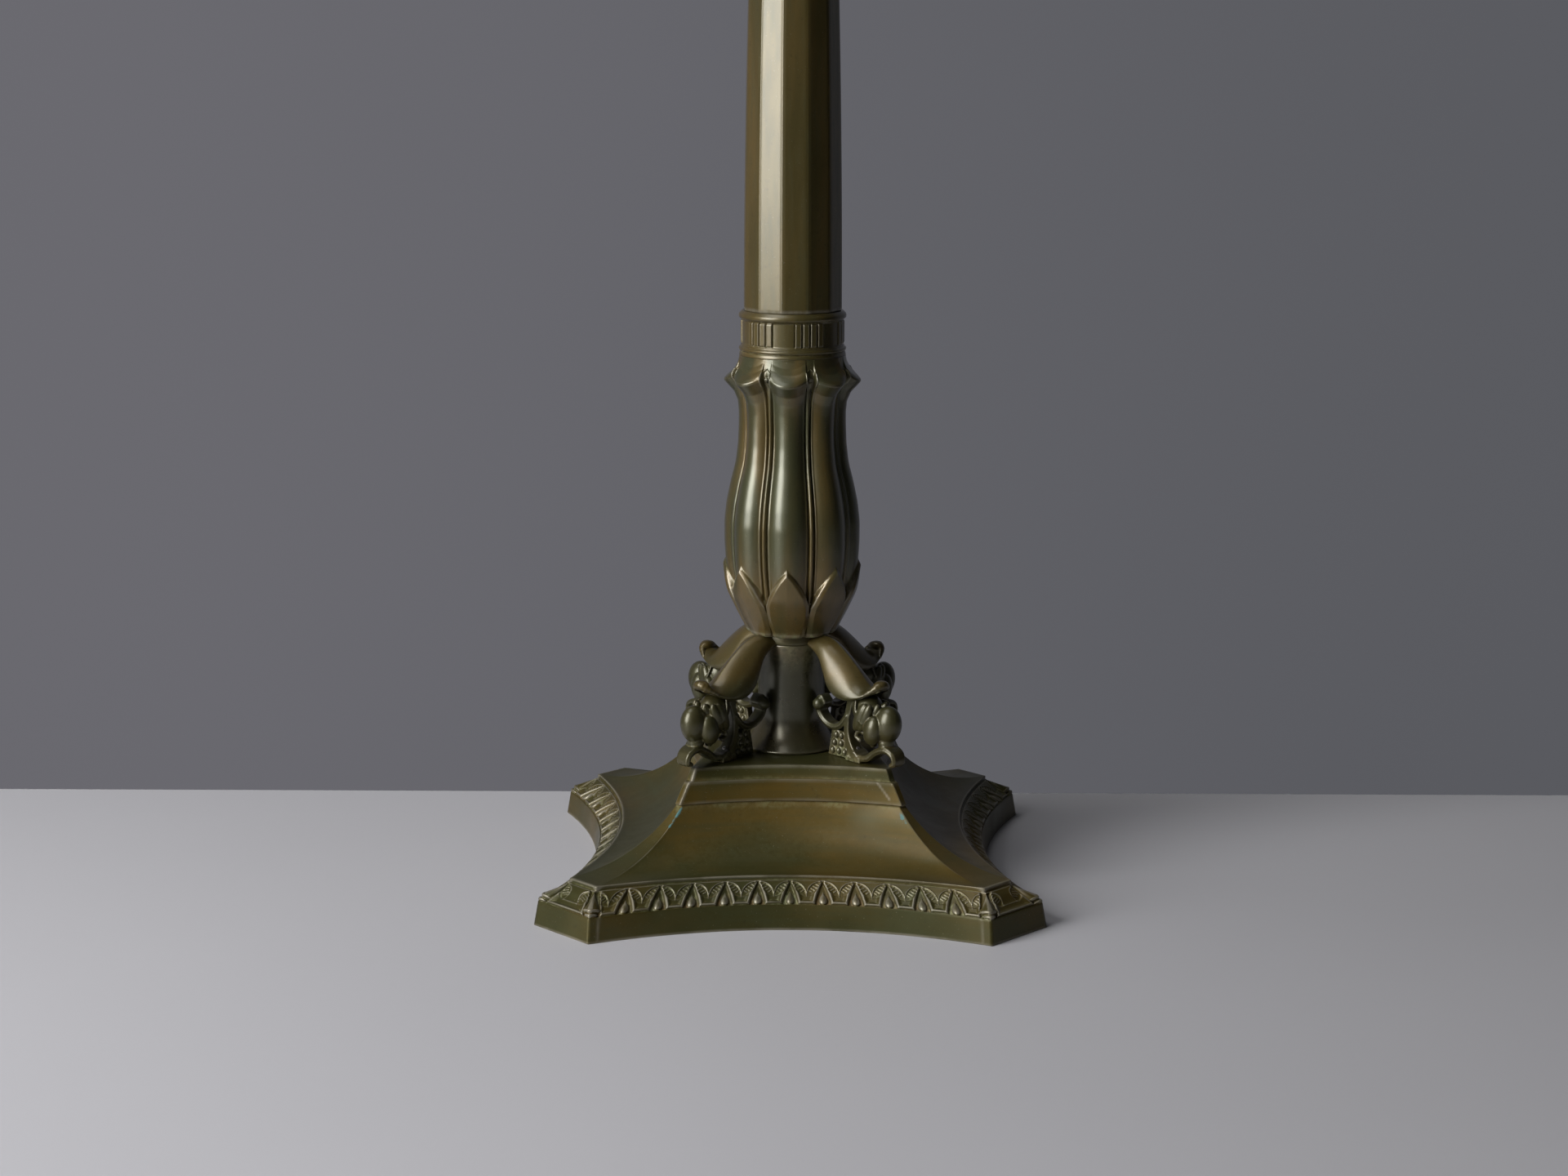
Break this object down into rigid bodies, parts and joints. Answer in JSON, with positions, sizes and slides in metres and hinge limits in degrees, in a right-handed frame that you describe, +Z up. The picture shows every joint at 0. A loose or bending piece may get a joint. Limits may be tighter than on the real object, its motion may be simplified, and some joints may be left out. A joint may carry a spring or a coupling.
{
  "type": "table lamp",
  "caption": "Classical table lamp: hollow-sided square base, scroll brackets, lotus urn and faceted column in dark bronze, with a key-switch screw lamp holder and a clear bulb.",
  "frame": {"origin": "middle of the base's outline on the surface that the lamp stands on", "axes": "+Z up the stem, -Y towards the front of the lamp, +X to the right seen from the front"},
  "size_m": [0.24, 0.24, 0.6694],
  "materials": {
    "bronze": "dark olive-brown patina, satin, worn bright on the edges",
    "brass": "aged brass, satin",
    "steel": "zinc-grey, dull",
    "porcelain": "glazed off-white",
    "lead_braid": "braided textile",
    "clear_glass": "clear, polished",
    "filament_wire": "drawn wire"
  },
  "bodies": {
    "stand": {"base_plinth": "bronze", "base_casting": "bronze", "cord_inlet_bush": "brass", "foot_tube": "bronze", "collar_ring": "bronze", "lotus_urn": "bronze", "neck_collar": "bronze", "column_shaft": "bronze", "capital": "bronze", "hollow_rod": "steel", "base_washer": "steel", "base_nut": "steel", "scroll_bracket_back_right": "bronze", "scroll_bracket_back_left": "bronze", "scroll_bracket_front_left": "bronze", "scroll_bracket_front_right": "bronze", "bracket_screw_back_right": "steel", "bracket_screw_back_left": "steel", "bracket_screw_front_left": "steel", "bracket_screw_front_right": "steel", "terminal_block": "porcelain", "terminal_screw_left": "brass", "terminal_screw_right": "brass", "internal_lead": "lead_braid", "holder_cap": "brass", "holder_nut": "steel", "holder_barrel": "brass", "porcelain_insert": "porcelain", "screw_shell": "brass", "centre_contact": "brass", "switch_block": "porcelain"},
    "switch_key": {"switch_key": "brass"},
    "lower_shade_ring": {"lower_shade_ring": "brass"},
    "upper_shade_ring": {"upper_shade_ring": "brass"},
    "bulb": {"bulb_contact": "brass", "bulb_cap": "brass", "bulb_glass": "clear_glass", "bulb_mount": "clear_glass", "filament": "filament_wire"}
  },
  "joints": [
    {"name": "switch_turn", "type": "hinge", "parent": "stand", "child": "switch_key", "pos_m": [0.0194, 0, 0.5452], "axis": [1, 0, 0], "continuous": true},
    {"name": "lower_ring_travel", "type": "slide", "parent": "stand", "child": "lower_shade_ring", "axis": [0, 0, 1], "range_m": [0, 0.004]},
    {"name": "upper_ring_travel", "type": "slide", "parent": "stand", "child": "upper_shade_ring", "axis": [0, 0, 1], "range_m": [0, 0.014]},
    {"name": "bulb_removal", "type": "slide", "parent": "stand", "child": "bulb", "axis": [0, 0, 1], "range_m": [0, 0.03]}
  ]
}
